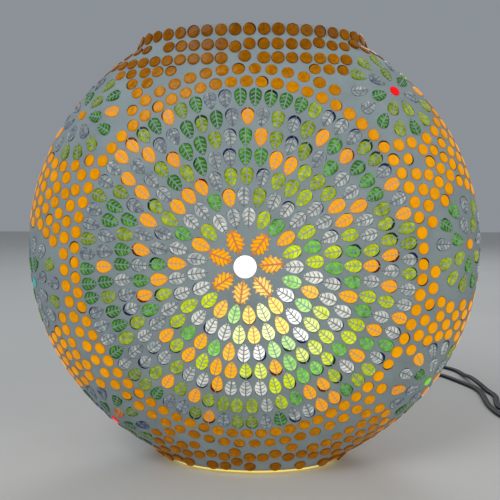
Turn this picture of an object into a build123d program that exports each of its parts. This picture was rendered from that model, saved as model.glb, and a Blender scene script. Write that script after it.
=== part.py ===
from build123d import *
import math
import os
import random

# Mosaic glass table lamp. Millimetres, +Z up, the front faces -Y.
# The origin is on the table, under the middle of the lamp.

# ---- Driving dimensions -------------------------------------------------
BODY_R = 152.5          # half-width of the round body, over the tiles
DEPTH_RATIO = 0.43      # half-depth of the body over its half-width
FOOT_Z = -145.5         # foot and lip of the body, from the body's centre
LIP_Z = 141.0
FOOT_AXES = (60.5, 29.0)
LIP_AXES = (72.5, 38.0)
CENTRE_Z = -FOOT_Z      # height of the body's centre over the table

TILE_T = 2.4            # thickness of every glass tile
TILE_GAP = 0.05         # adhesive line under a tile
BED_T = 0.8             # grout and adhesive bed
GLASS_T = 3.0
BED_DEPTH = TILE_T + TILE_GAP
GLASS_DEPTH = BED_DEPTH + BED_T + 0.5
BED_BOTTOM_Z = 4.0 + FOOT_Z
BED_TOP_Z = LIP_Z - 0.9

ROUND_R = 3.9           # amber round tile
ROUND_PITCH = 8.75      # along the first row at each rim
ROUND_SPACE = 8.25      # least distance between the middles of two rounds
BORDER_PITCH = 9.3
LEAF_L, LEAF_W = 11.7, 7.6
MAPLE_L, MAPLE_W = 14.5, 12.0
CENTRE_DISC_R = 6.7
FLOWER_DISC_R = 3.4
NOTCH_W, NOTCH_H = 15.0, 16.0       # slot for the cord at the back of the foot

# ---- Form of the body ---------------------------------------------------
NECK_Z, NECK_DEPTH_Z = 130.2, 106.75        # where width and depth leave the round form
FOOT_WIDTH_Z, FOOT_DEPTH_Z = -136.0, -114.4
LIP_SLOPES = (-0.35, -0.10)                 # of width and depth with height
FOOT_SLOPES = (0.45, 0.42)


def circle_half(z):
    return math.sqrt(BODY_R ** 2 - z ** 2)


def circle_slope(z):
    return -z / circle_half(z)


def blend(z, z0, v0, s0, z1, v1, s1):
    """Cubic from value v0 and slope s0 at z0 to value v1 and slope s1 at z1."""
    h = z1 - z0
    t = (z - z0) / h
    return (
        v0 * (2 * t ** 3 - 3 * t ** 2 + 1)
        + h * s0 * (t ** 3 - 2 * t ** 2 + t)
        + v1 * (3 * t ** 2 - 2 * t ** 3)
        + h * s1 * (t ** 3 - t ** 2)
    )


def half_axis(z, which):
    """Half-width (which 0) or half-depth (which 1) of the outer form at height z."""
    ratio = (1.0, DEPTH_RATIO)[which]
    upper = (NECK_Z, NECK_DEPTH_Z)[which]
    lower = (FOOT_WIDTH_Z, FOOT_DEPTH_Z)[which]
    if z > upper:
        return blend(z, upper, ratio * circle_half(upper), ratio * circle_slope(upper),
                     LIP_Z, LIP_AXES[which], LIP_SLOPES[which])
    if z < lower:
        return blend(z, lower, ratio * circle_half(lower), ratio * circle_slope(lower),
                     FOOT_Z, FOOT_AXES[which], FOOT_SLOPES[which])
    return ratio * circle_half(z)


def inset_axis(z, which, depth):
    """The same half-axis, depth under the outer form, measured square to it."""
    step = 0.05
    slope = (half_axis(z + step, which) - half_axis(z - step, which)) / (2 * step)
    return half_axis(z, which) - depth * math.sqrt(1 + slope ** 2)


def section_wire(z, depth):
    ellipse = Edge.make_ellipse(
        x_radius=inset_axis(z, 0, depth),
        y_radius=inset_axis(z, 1, depth),
        plane=Plane.XY.offset(z + CENTRE_Z),
    )
    return Wire([ellipse])


def form_solid(z_low, z_high, depth, sections=41):
    """The body's form as a solid, depth under the outer form."""
    heights = [z_low + (z_high - z_low) * i / (sections - 1) for i in range(sections)]
    return Solid.make_loft([section_wire(z, depth) for z in heights])


# ---- Points on the bed --------------------------------------------------
def bed_point(x, z, side):
    """Point and outward normal of the bed below the outer form's point (x, z).

    side is -1 on the front and +1 on the back.
    """
    across = max(-1.0, min(1.0, x / half_axis(z, 0)))
    deep = side * math.sqrt(1 - across ** 2)
    return bed_at(across, deep, z)


def bed_at(across, deep, z):
    """Bed point where the section's unit circle has the point (across, deep)."""
    step = 0.05
    a, b = inset_axis(z, 0, BED_DEPTH), inset_axis(z, 1, BED_DEPTH)
    a_rise = (inset_axis(z + step, 0, BED_DEPTH) - inset_axis(z - step, 0, BED_DEPTH)) / (2 * step)
    b_rise = (inset_axis(z + step, 1, BED_DEPTH) - inset_axis(z - step, 1, BED_DEPTH)) / (2 * step)
    point = Vector(a * across, b * deep, z + CENTRE_Z)
    normal = Vector(across / a, deep / b, -across ** 2 * a_rise / a - deep ** 2 * b_rise / b)
    return point, normal.normalized()


# Distance from the front pole along the round form, against radius in the front view.
ARC_STEPS = 2000
ARC_TABLE = [0.0]
for i in range(ARC_STEPS):
    mid = (i + 0.5) / ARC_STEPS * math.pi / 2
    ARC_TABLE.append(ARC_TABLE[-1] + BODY_R * math.pi / 2 / ARC_STEPS
                     * math.hypot(math.cos(mid), DEPTH_RATIO * math.sin(mid)))
QUARTER = ARC_TABLE[-1]     # from the front pole to the outline


def radius_at(arc):
    """Radius in the front view of a point at this distance from the front pole."""
    low, high = 0, ARC_STEPS
    while high - low > 1:
        middle = (low + high) // 2
        if ARC_TABLE[middle] <= arc:
            low = middle
        else:
            high = middle
    share = (arc - ARC_TABLE[low]) / (ARC_TABLE[high] - ARC_TABLE[low])
    return BODY_R * math.sin((low + share) / ARC_STEPS * math.pi / 2)


def arc_at(radius):
    angle = math.asin(min(1.0, radius / BODY_R))
    place = angle / (math.pi / 2) * ARC_STEPS
    low = min(int(place), ARC_STEPS - 1)
    return ARC_TABLE[low] + (place - low) * (ARC_TABLE[low + 1] - ARC_TABLE[low])


def chart_point(u, v, side):
    """Bed point and normal at (u, v) on the flat chart round the pole of one side."""
    arc, angle = math.hypot(u, v), math.atan2(v, u)
    if arc > QUARTER:
        arc, side = 2 * QUARTER - arc, -side
    radius = radius_at(arc)
    z = max(FOOT_Z + 1, min(LIP_Z - 1, radius * math.sin(angle)))
    return bed_point(radius * math.cos(angle), z, side)


# ---- Tile shapes --------------------------------------------------------
def tile_from(wire):
    return Solid.extrude(Face(wire), Vector(0, 0, TILE_T))


def round_tile(radius):
    return Solid.make_cylinder(radius, TILE_T)


def leaf_tile(length, width):
    """A leaf with its tip towards -X and its round end towards +X."""
    tip, end = Vector(-length / 2, 0, 0), Vector(length / 2, 0, 0)
    top = Vector(length * 0.20, width / 2, 0)
    low = Vector(length * 0.20, -width / 2, 0)
    upper = Edge.make_three_point_arc(tip, Vector(-length * 0.16, width * 0.40, 0), top)
    round_end = Edge.make_three_point_arc(top, end, low)
    lower = Edge.make_three_point_arc(low, Vector(-length * 0.16, -width * 0.40, 0), tip)
    return tile_from(Wire([upper, round_end, lower]))


MAPLE_OUTLINE = [           # half of the outline, as shares of length and half-width
    (-0.50, 0.00), (-0.33, 0.26), (-0.34, 0.62), (-0.14, 0.50), (-0.12, 1.00),
    (0.08, 0.72), (0.22, 0.95), (0.30, 0.48), (0.44, 0.42), (0.50, 0.00),
]


def maple_tile():
    upper = [Vector(x * MAPLE_L, y * MAPLE_W / 2, 0) for x, y in MAPLE_OUTLINE]
    lower = [Vector(p.X, -p.Y, 0) for p in reversed(upper[1:-1])]
    return tile_from(Wire.make_polygon(upper + lower, close=True))


TILES = {}                  # node name to its list of solids
DRAW = random.Random(11)


def set_tile(node, solid, point, normal, along):
    """Lay a tile on the bed, its own X axis along the given direction."""
    flat_along = along - normal * along.dot(normal)
    place = Plane(origin=point + normal * TILE_GAP, x_dir=flat_along, z_dir=normal)
    TILES.setdefault(node, []).append(solid.moved(Location(place)))


def set_at_chart(node, solid, u, v, side, lean_u, lean_v):
    point, normal = chart_point(u, v, side)
    ahead, _ = chart_point(u + lean_u, v + lean_v, side)
    set_tile(node, solid, point, normal, ahead - point)


SIDE_NAMES = {-1: "front", 1: "back"}
LEAF_COLOURS = {"l": "lime", "g": "green", "c": "clear", "o": "orange"}
LEAVES = [leaf_tile(LEAF_L * k, LEAF_W * j) for k, j in ((1.0, 1.0), (0.98, 1.02), (1.01, 0.96))]
SHORT_LEAF = leaf_tile(LEAF_L * 0.93, LEAF_W)
ROUNDS = [round_tile(ROUND_R * k) for k in (1.0, 0.97, 1.02, 0.95)]

# ---- The big star pattern ----------------------------------------------
STAR_SHIFT = (-1.5, -3.4)   # hand-set pattern: its centre is a little off the pole
STAR_RINGS = [              # distance from the centre, first leaf's angle, colours in order
    (27.9, 0.0, "cloglc ccloc cclog olocg"),
    (39.7, 4.0, "lglccc lcogccgc occlccclo locgoc"),
    (51.1, -1.0, "glccclllc llcooolcc golclgogo ccggcllcc"),
    (62.5, 0.0, "lgloollloog gccglgcloco cgogcololoo lloglllccog"),
    (73.9, 0.0, "olccoccgclclo gclggolcocgl ggccclccclccoc ccllgglgllglc"),
    (86.0, 4.0, "olllgggogolclc ocglgccocolggc coglgglcclololl llclgoolcogocloc"),
    (98.3, 2.0, "cllococllccclggg ggccglogloocclccl cgggcccgcllgccloc llcgccoogllcgcoccl"),
]
LEAF_TURN = 3.0             # a hand-set leaf points this many degrees off at most
SNUG = 3.0                  # a leaf this near a leaf of the ring inside it is a short one
MAPLE_ARC = 15.0
MAPLE_ANGLES = (5.0, 55.5, 112.0, 159.0, 214.0, 262.0, 312.0)
BORDER_ARCS = (108.6, 117.4)


def star_chart(arc, degrees):
    angle = math.radians(degrees)
    return STAR_SHIFT[0] + arc * math.cos(angle), STAR_SHIFT[1] + arc * math.sin(angle)


def lay_star(side):
    name = SIDE_NAMES[side]
    set_at_chart("centre_discs", round_tile(CENTRE_DISC_R), *star_chart(0, 0), side, 1, 0)
    for degrees in MAPLE_ANGLES:
        lean = math.cos(math.radians(degrees)), math.sin(math.radians(degrees))
        set_at_chart("maple_leaves", maple_tile(), *star_chart(MAPLE_ARC, degrees), side, *lean)
    inner = []
    for arc, first, colours in STAR_RINGS:
        letters = colours.replace(" ", "")
        ring = []
        for i, letter in enumerate(letters):
            degrees = first + 360.0 * i / len(letters) + DRAW.uniform(-0.2, 0.2)
            turn = math.radians(degrees + DRAW.uniform(-LEAF_TURN, LEAF_TURN))
            ring.append(degrees)
            gaps = [abs((degrees - other + 180) % 360 - 180) for other in inner]
            crowded = bool(gaps) and math.radians(min(gaps)) * (arc - LEAF_L / 2) < SNUG
            leaf = SHORT_LEAF if crowded else DRAW.choice(LEAVES)
            spot = star_chart(arc + (LEAF_L * 0.02 if crowded else 0.0), degrees)
            node = "leaves_%s_%s" % (LEAF_COLOURS[letter], name)
            set_at_chart(node, leaf, *spot, side, math.cos(turn), math.sin(turn))
        inner = ring


# ---- The small flowers --------------------------------------------------
# Distance from the pole on the front and on the back, angle, and colour of the centre.
FLOWERS = [
    (141.0, 147.0, 48.0, "red"),
    (146.5, 147.0, 3.0, "amber"),
    (151.0, 142.5, -35.0, "green"),
    (155.5, 138.0, 230.0, "red"),
    (155.0, 138.5, 187.6, "teal"),
    (146.0, 147.0, 141.0, "amber"),
]
PETAL_RINGS = ((12.6, 7), (24.3, 13))
PETALS = [leaf_tile(LEAF_L * k, LEAF_W * j) for k, j in ((0.94, 0.98), (0.92, 1.0), (0.93, 0.96))]
FLOWER_REACH = PETAL_RINGS[-1][0] + LEAF_L * 0.94 / 2
PETAL_COLOURS = "clgcclgocclcg"


def flower_chart(arc, degrees, away, turn):
    """Chart point at distance away and angle turn from a flower's centre."""
    outward, sideways = away * math.cos(turn), away * math.sin(turn)
    reach = arc + outward
    folded = reach if reach <= QUARTER else 2 * QUARTER - reach
    angle = math.radians(degrees) + sideways / radius_at(folded)
    return reach * math.cos(angle), reach * math.sin(angle)


def lay_flower(side, arc, degrees, colour, first):
    name = SIDE_NAMES[side]
    spot = flower_chart(arc, degrees, 0, 0)
    set_at_chart("flower_centres_" + colour, round_tile(FLOWER_DISC_R), *spot, side, 1, 0)
    for away, count in PETAL_RINGS:
        for i in range(count):
            turn = math.radians(first + 360.0 * i / count)
            spot = flower_chart(arc, degrees, away, turn)
            ahead = flower_chart(arc, degrees, away + 1.0, turn)
            node = "leaves_%s_%s" % (LEAF_COLOURS[DRAW.choice(PETAL_COLOURS)], name)
            lean = ahead[0] - spot[0], ahead[1] - spot[1]
            set_at_chart(node, DRAW.choice(PETALS), *spot, side, *lean)


def flower_clearance(x, z, side):
    """Distance over the form from the nearest flower's centre."""
    nearest = 1000.0
    radius = min(math.hypot(x, z), BODY_R)
    angle = math.atan2(z, x)
    for front_arc, back_arc, degrees, _ in FLOWERS:
        for flower_side, flower_arc in ((-1, front_arc), (1, back_arc)):
            arc = arc_at(radius) if side == flower_side else 2 * QUARTER - arc_at(radius)
            swing = (angle - math.radians(degrees) + math.pi) % (2 * math.pi) - math.pi
            across = (radius + radius_at(flower_arc)) / 2 * swing
            nearest = min(nearest, math.hypot(arc - flower_arc, across))
    return nearest


FLOWER_EDGE = FLOWER_REACH + ROUND_R + 0.35
STAR_EDGE = BORDER_ARCS[-1] + ROUND_R


# ---- Rounds -------------------------------------------------------------
ZONES = ((60.0, "upper"), (-60.0, "middle"), (-1000.0, "lower"))
TOP_ROWS = (LIP_Z - 4.8, LIP_Z - 14.0, LIP_Z - 22.9)     # even rows under the lip
LOW_ROWS = (FOOT_Z + 8.4, FOOT_Z + 16.4)                # and over the foot
SCAN_STEP = 1.0             # spacing of the places that are tried
RIM_SEAT = 0.4              # thicker adhesive under the rounds near the rims
RIM_REACH = 24.0
FINE_STEPS = 3000           # least steps round a section
EDGE_POINTS = 16            # points tested round the edge of a round
ROUNDS_AT = {}              # middles of the rounds laid so far, by grid cell


def cell_of(point):
    return int(point.X // ROUND_SPACE), int(point.Y // ROUND_SPACE), int(point.Z // ROUND_SPACE)


def has_room(point):
    """Whether a round here stays clear of every round laid so far."""
    i, j, k = cell_of(point)
    for di in (-1, 0, 1):
        for dj in (-1, 0, 1):
            for dk in (-1, 0, 1):
                for other in ROUNDS_AT.get((i + di, j + dj, k + dk), ()):
                    if (point - other).length < ROUND_SPACE:
                        return False
    return True


def seat_height(point, normal):
    """How far a flat round must stand off to clear a bed that curves up at its edge."""
    level = normal.cross(Vector(0, 0, 1)).normalized()
    uphill = level.cross(normal)
    height = point.Z - CENTRE_Z
    deepest = 0.0
    for i in range(EDGE_POINTS):
        turn = 2 * math.pi * i / EDGE_POINTS
        edge = point + (level * math.cos(turn) + uphill * math.sin(turn)) * ROUND_R * 1.03
        z = max(FOOT_Z + 1.0, min(LIP_Z - 1.0, edge.Z - CENTRE_Z))
        a, b = inset_axis(z, 0, BED_DEPTH), inset_axis(z, 1, BED_DEPTH)
        share = math.hypot(edge.X / a, edge.Y / b)
        deepest = max(deepest, (1 - share) * math.hypot(edge.X, edge.Y))
    return deepest + (RIM_SEAT if height > LIP_Z - RIM_REACH or height < FOOT_Z + RIM_REACH else 0.0)


def set_round(point, normal, z, side):
    zone = next(word for low, word in ZONES if z >= low)
    ROUNDS_AT.setdefault(cell_of(point), []).append(point)
    seat = point + normal * seat_height(point, normal)
    set_tile("rounds_%s_%s" % (zone, SIDE_NAMES[side]), DRAW.choice(ROUNDS), seat, normal, Vector(0, 0, 1))


def lay_borders(side):
    """Two rings of rounds about the star, broken where a flower reaches in."""
    count = round(2 * math.pi * radius_at(BORDER_ARCS[0]) / BORDER_PITCH)
    for ring, arc in enumerate(BORDER_ARCS):
        for i in range(count):
            u, v = star_chart(arc, 360.0 * (i + 0.5 * ring) / count)
            radius, angle = radius_at(math.hypot(u, v)), math.atan2(v, u)
            x, z = radius * math.cos(angle), radius * math.sin(angle)
            point, normal = bed_point(x, z, side)
            if flower_clearance(x, z, side) > FLOWER_EDGE and has_room(point):
                set_round(point, normal, z, side)


def is_outside_patterns(x, z, side):
    radius, angle = min(math.hypot(x, z), BODY_R), math.atan2(z, x)
    arc = arc_at(radius)
    u, v = arc * math.cos(angle) - STAR_SHIFT[0], arc * math.sin(angle) - STAR_SHIFT[1]
    return math.hypot(u, v) > STAR_EDGE and flower_clearance(x, z, side) > FLOWER_EDGE


def is_over_notch(x, z, side):
    reach = ROUND_R + 0.6
    return side > 0 and abs(x) < NOTCH_W / 2 + reach and z < FOOT_Z + NOTCH_H + reach


def perimeter(z):
    """Length round the body at height z, by Ramanujan's rule."""
    a, b = half_axis(z, 0), half_axis(z, 1)
    return math.pi * (3 * (a + b) - math.sqrt((3 * a + b) * (a + 3 * b)))


def spots_round(z, count):
    """Unit-circle points that are evenly spaced along the section at height z."""
    a, b = half_axis(z, 0), half_axis(z, 1)
    fine = max(8 * count, FINE_STEPS)
    angles = [2 * math.pi * i / fine - math.pi / 2 for i in range(fine + 1)]
    steps = [math.dist((a * math.cos(p), b * math.sin(p)), (a * math.cos(q), b * math.sin(q)))
             for p, q in zip(angles, angles[1:])]
    total, walked, found = sum(steps), 0.0, []
    for angle, step in zip(angles, steps):
        if walked >= total * len(found) / count:
            found.append((math.cos(angle), math.sin(angle)))
        walked += step
    return found[:count]


def lay_rounds_at(z, count):
    """Rounds in every place at height z that has room for one."""
    for across, deep in spots_round(z, count):
        point, normal = bed_at(across, deep, z)
        if not has_room(point):
            continue
        side, x = -1 if deep < 0 else 1, across * half_axis(z, 0)
        if is_outside_patterns(x, z, side) and not is_over_notch(x, z, side):
            set_round(point, normal, z, side)


def lay_rounds():
    """Even rows at each rim, then rounds nested into one another towards the waist."""
    for z in TOP_ROWS + LOW_ROWS:
        lay_rounds_at(z, round(perimeter(z) / ROUND_PITCH))
    for i in range(int(-LOW_ROWS[0] / SCAN_STEP)):
        for z in (TOP_ROWS[0] - i * SCAN_STEP, LOW_ROWS[0] + i * SCAN_STEP):
            lay_rounds_at(z, round(perimeter(z) / SCAN_STEP))


def lay_tiles():
    for side in (-1, 1):
        lay_star(side)
        for n, (front_arc, back_arc, degrees, colour) in enumerate(FLOWERS):
            lay_flower(side, front_arc if side < 0 else back_arc, degrees, colour, 10.0 * n)
        lay_borders(side)
    lay_rounds()


# ---- Glass and bed ------------------------------------------------------

def cord_notch():
    slot = Box(NOTCH_W, 30, NOTCH_H * 2)
    return Pos(0, FOOT_AXES[1], 0) * slot


def shell_of(z_low, z_high, outer_depth, thickness):
    outside = form_solid(z_low, z_high, outer_depth)
    inside = form_solid(z_low, z_high, outer_depth + thickness)
    return outside - inside - cord_notch()


# ---- Light unit: weighted base, lampholder and bulb ---------------------
BASE_A, BASE_B = 47.0, 18.0         # half-axes of the base pan
BASE_LOW, BASE_TOP = 3.0, 16.0
SHEET_T = 1.2
FEET = [(x, y) for x in (-30.0, 30.0) for y in (-7.0, 7.0)]
COVER_SCREWS = [(-39.0, 0.0), (39.0, 0.0)]
CORD_EXIT_Z = 9.0
GROMMET_R = 3.6


def oval(a, b, z, height):
    face = Face(Wire([Edge.make_ellipse(x_radius=a, y_radius=b, plane=Plane.XY.offset(z))]))
    return Solid.extrude(face, Vector(0, 0, height))


def tube(outer, inner, z, height):
    return Pos(0, 0, z + height / 2) * (Cylinder(outer, height) - Cylinder(inner, height + 2))


def disc(radius, z, height):
    return Pos(0, 0, z + height / 2) * Cylinder(radius, height)


def base_pan():
    body = oval(BASE_A, BASE_B, BASE_LOW, BASE_TOP - BASE_LOW)
    top = body.edges().filter_by(lambda e: abs(e.center().Z - BASE_TOP) < 0.01)
    body = fillet(top, 3.0)
    hollow = oval(BASE_A - SHEET_T, BASE_B - SHEET_T, BASE_LOW - 1, BASE_TOP - BASE_LOW - SHEET_T + 1)
    inner_top = hollow.edges().filter_by(lambda e: abs(e.center().Z - BASE_TOP + SHEET_T) < 0.01)
    hollow = fillet(inner_top, 1.8)
    cord_hole = Pos(0, BASE_B, CORD_EXIT_Z) * Rot(90, 0, 0) * Cylinder(GROMMET_R, 12)
    return body - hollow - disc(5.15, BASE_TOP - 4, 6) - cord_hole


def base_cover():
    cover = oval(BASE_A - SHEET_T - 0.2, BASE_B - SHEET_T - 0.2, BASE_LOW, SHEET_T)
    for x, y in COVER_SCREWS:
        cover = cover - Pos(x, y, BASE_LOW) * Cylinder(1.7, 6)
    return cover


def base_ballast():
    """Two cast weights that leave the middle of the base free for the wiring."""
    slab = oval(BASE_A - 6, BASE_B - 4, BASE_LOW + SHEET_T + 0.2, 7.0)
    slab = slab - Box(34, 60, 60)
    for x, y in COVER_SCREWS:
        slab = slab - Pos(x, y, 8) * Cylinder(3.4, 20)
    return slab


def base_feet():
    pads = []
    for x, y in FEET:
        pad = Pos(x, y, BASE_LOW / 2) * Cylinder(5.0, BASE_LOW - 0.02)
        pads.append(chamfer(pad.edges().group_by(Axis.Z)[0], 0.5))
    return pads


def cover_screws():
    """Pan-head screws up through the cover into posts of the pan."""
    screws = []
    for x, y in COVER_SCREWS:
        head = Pos(x, y, BASE_LOW - 0.75) * Cylinder(2.8, 1.3)
        shank = Pos(x, y, BASE_LOW + 4.4) * Cylinder(1.5, 9.0)
        slot = Pos(x, y, BASE_LOW - 1.4) * Box(3.6, 0.7, 0.9)
        screws.append(head + shank - slot)
    return screws


def base_posts():
    """Threaded posts under the pan's top, which the cover screws bite into."""
    post_low, post_high = BASE_LOW + SHEET_T + 0.3, BASE_TOP - SHEET_T - 0.05
    posts = []
    for x, y in COVER_SCREWS:
        post = Pos(x, y, (post_low + post_high) / 2) * Cylinder(3.1, post_high - post_low)
        posts.append(post - Pos(x, y, post_low) * Cylinder(1.55, 16.0))
    return posts


def grommet():
    """Rubber bush in the pan's back wall, with a tapered sleeve over the cord."""
    y0 = BASE_B
    profile = make_face(Polyline(
        (2.15, 0), (3.5, 0), (3.5, SHEET_T + 0.4), (4.6, SHEET_T + 0.4), (4.6, SHEET_T + 2.4),
        (3.9, SHEET_T + 3.4), (2.9, 24.0), (2.15, 24.0), close=True))
    body = revolve(profile, Axis.Y)
    collar = revolve(make_face(Polyline((2.15, -1.6), (4.6, -1.6), (4.6, -0.1), (2.15, -0.1), close=True)), Axis.Y)
    return Pos(0, y0 - SHEET_T, CORD_EXIT_Z) * (body + collar + revolve(make_face(Polyline(
        (2.15, -0.2), (3.5, -0.2), (3.5, 0.2), (2.15, 0.2), close=True)), Axis.Y))


def nipple():
    return tube(5.0, 3.75, 10.7, 13.3)


def hex_nut(z):
    return extrude(Pos(0, 0, z) * (RegularPolygon(8.0, 6) - Circle(5.05)), 2.6)


def spring_washer(z):
    return tube(8.2, 5.1, z, 1.0)


def holder_cap():
    outline = Polyline(
        (5.1, 16.05), (12.0, 16.05), (15.5, 19.0), (18.6, 26.0), (19.0, 30.0),
        (17.6, 30.0), (17.2, 26.6), (14.6, 20.4), (11.4, 17.6), (5.1, 17.6), close=True)
    return revolve(make_face(Plane.XZ * outline), Axis.Z)


def holder_shell():
    """Outer jacket with a rolled rim, screwed to the cap."""
    outline = Polyline(
        (17.65, 30.1), (19.0, 30.1), (19.0, 56.0), (19.8, 57.0), (19.8, 58.5),
        (19.0, 59.3), (17.65, 59.3), close=True)
    return revolve(make_face(Plane.XZ * outline), Axis.Z)


def holder_ring():
    """Threaded shade ring round the jacket."""
    ring = tube(20.6, 19.05, 42.0, 7.0)
    for k in range(24):
        angle = 15.0 * k
        ring = ring - Rot(0, 0, angle) * Pos(20.9, 0, 45.5) * Box(1.0, 1.2, 9.0)
    return ring


def holder_insert():
    """Moulded insulator that carries the contacts."""
    body = disc(17.3, 30.2, 4.0) + tube(17.3, 14.6, 34.2, 8.0)
    return body - Box(9.0, 9.0, 100.0) - Pos(0, 11, 32) * Cylinder(1.45, 12) - Pos(0, -11, 32) * Cylinder(1.45, 12)


def holder_thread():
    """Screw sleeve that the bulb's cap turns in."""
    sleeve = tube(14.2, 13.7, 34.3, 22.0)
    for k in range(6):
        bead = Pos(0, 0, 37.5 + 3.2 * k) * Torus(14.05, 0.35)
        sleeve = sleeve + bead
    return sleeve


def centre_contact():
    """Sprung leaf under the bulb's contact."""
    strip = Pos(0, 0, 30.6) * Box(8.6, 4.0, 0.5)
    rise = Pos(0, 0, 31.9) * Cylinder(1.4, 2.2)
    return strip + rise


def terminal_screws():
    screws = []
    for y in (-11.0, 11.0):
        screw = Pos(0, y, 31.6) * Cylinder(1.4, 5.0) + Pos(0, y, 28.5) * Cylinder(2.4, 1.4)
        screws.append(screw - Pos(0, y, 27.8) * Box(3.4, 0.6, 0.8))
    return screws


def inner_wires():
    """The two conductors from the cord's split end up through the nipple."""
    wires = []
    for x in (-1.6, 1.6):
        points = [(x, 14.4, CORD_EXIT_Z), (x, 5.0, 7.2), (x, 0.0, 9.6), (x, 0.0, 23.0)]
        if x > 0:
            points.append((x, 7.0, 27.0))
        else:
            points.append((x, -7.0, 27.0))
        path = FilletPolyline(*points, radius=[3.5, 2.6, 2.2])
        start = Plane(origin=path @ 0, z_dir=path % 0)
        wires.append(sweep(start * Circle(0.9), path=path))
    return wires


BULB_CAP_R = 13.3
BULB_R = 17.5


def bulb_cap():
    cap = tube(BULB_CAP_R, BULB_CAP_R - 0.6, 37.0, 21.0)
    for k in range(5):
        groove = Pos(0, 0, 39.6 + 3.6 * k) * Torus(BULB_CAP_R + 0.05, 0.4)
        cap = cap - groove
    return cap


def bulb_cap_insulator():
    outline = Polyline((0, 34.2), (4.5, 34.2), (11.0, 37.0), (11.0, 38.2), (0, 38.2), close=True)
    return revolve(make_face(Plane.XZ * outline), Axis.Z)


def bulb_contact():
    return disc(4.0, 33.1, 1.05)


def bulb_neck():
    """Moulded driver housing between the cap and the diffuser."""
    outline = Polyline(
        (0, 58.1), (13.0, 58.1), (13.6, 62.0), (15.6, 74.0), (16.6, 80.0), (16.6, 82.0), (0, 82.0), close=True)
    return revolve(make_face(Plane.XZ * outline), Axis.Z)


def bulb_glow():
    """Frosted candle-shaped diffuser."""
    with BuildSketch(Plane.XZ) as half:
        with BuildLine():
            Line((0, 82.1), (16.2, 82.1))
            Spline((16.2, 82.1), (BULB_R, 98.0), (13.2, 118.0), (0, 133.0), tangents=((0.3, 1), (-1, 0.0)))
            Line((0, 133.0), (0, 82.1))
        make_face()
    return revolve(half.sketch, Axis.Z)


# ---- Cord ---------------------------------------------------------------
CORD_D = 4.4            # round stand-in of the flat twin flex, 5.3 by 2.7
LIE = CORD_D / 2 + 0.05  # height of the cord's middle where it lies on the table
HOP = LIE + CORD_D + 0.6  # and where it crosses over itself

SWITCH_AT, SWITCH_TURN = (95.0, 125.0), 48.0    # middle and direction of the switch
SWITCH_L, SWITCH_W = 62.0, 24.0
SLEEVE = 20.0           # strain-relief sleeve at each end of the switch

# From the base's grommet, out of the slot in the foot and towards the switch.
LEAD_ROUTE = [
    (0, 41.3, CORD_EXIT_Z), (0.5, 52.0, 6.4), (4.5, 61.5, LIE), (13, 67.5, LIE), (26, 67.0, LIE),
    (39, 67.5, LIE),
]
# From the switch out to the lamp's right, forward past it, round and back to the coil.
RUN_ROUTE = [
    (150, 186.0, LIE), (164, 195.0, LIE), (179, 195.5, LIE), (190.5, 186.5, LIE), (197.5, 173.0, LIE),
    (204, 160.0, LIE), (210, 146.0, LIE), (210, 130.0, LIE), (206, 113.0, LIE), (204, 95.0, LIE),
    (205.5, 78.0, LIE), (211, 61.0, LIE), (223, 50.0, LIE), (238, 50.5, LIE), (245, 64.0, LIE),
    (236, 77.0, LIE), (221, 81.0, LIE), (210.5, 95.0, LIE), (214.5, 110.5, LIE), (220.5, 126.0, LIE),
    (218, 140.0, LIE), (213.5, 156.0, HOP), (211.5, 172.0, HOP), (212.5, 188.0, LIE), (210, 204.0, LIE),
    (200, 217.0, LIE), (184, 224.5, LIE), (164, 228.0, LIE), (143, 232.5, LIE), (120, 235.5, LIE),
    (97, 235.5, 4.5), (75.5, 234.0, 6.0),
]
COIL_AT = (55.0, 205.0)
COIL_MID_R = 29.0       # radius of the middle of the coil's turns
COIL_WIDTH = 13.0
COIL_H = 10.0
COIL_LOW = 1.0          # the tie passes under the coil
# From the coil to the plug's sleeve.
TAIL_ROUTE = [(26.0, 184.2, 6.0), (25.5, 177.0, 6.6), (24.1, 169.9, 7.1)]


def switch_end(sign):
    """Where the cord enters the sleeve at one end of the switch."""
    reach = SWITCH_L / 2 + SLEEVE
    angle = math.radians(SWITCH_TURN)
    return (SWITCH_AT[0] + sign * reach * math.cos(angle),
            SWITCH_AT[1] + sign * reach * math.sin(angle), 6.0)


def corner_radii(points):
    vectors = [Vector(*p) for p in points]
    radii = []
    for before, here, after in zip(vectors, vectors[1:], vectors[2:]):
        first, second = here - before, after - here
        half_turn = math.radians(first.get_angle(second)) / 2
        radii.append(0.45 * min(first.length, second.length) / math.tan(half_turn))
    return radii


def cord_tube(points):
    radii = corner_radii(points)
    path = FilletPolyline(*points, radius=radii)
    start = Plane(origin=path @ 0, z_dir=path % 0)
    solid = sweep(start * Circle(CORD_D / 2), path=path)
    expected = math.pi * (CORD_D / 2) ** 2 * path.length
    print("cord length %.1f" % path.length, "volume over section times length %.4f" % (solid.volume / expected))
    print("cord radii", [round(r, 1) for r in radii])
    return solid


def lead_points():
    angle = math.radians(SWITCH_TURN)
    end = switch_end(-1)
    before = (end[0] - 17 * math.cos(angle), end[1] - 17 * math.sin(angle), 3.4)
    return LEAD_ROUTE + [before, end]


def run_points():
    angle = math.radians(SWITCH_TURN)
    start = switch_end(1)
    after = (start[0] + 15 * math.cos(angle), start[1] + 15 * math.sin(angle), 3.4)
    return [start, after] + RUN_ROUTE


def cord_coil():
    """Outer shape of the put-away coil, as one closed ring."""
    ring = Cylinder(COIL_MID_R + COIL_WIDTH / 2, COIL_H) - Cylinder(COIL_MID_R - COIL_WIDTH / 2, COIL_H + 2)
    ring = fillet(ring.edges(), 3.0)
    return Pos(COIL_AT[0], COIL_AT[1], COIL_LOW + COIL_H / 2) * ring


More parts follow.
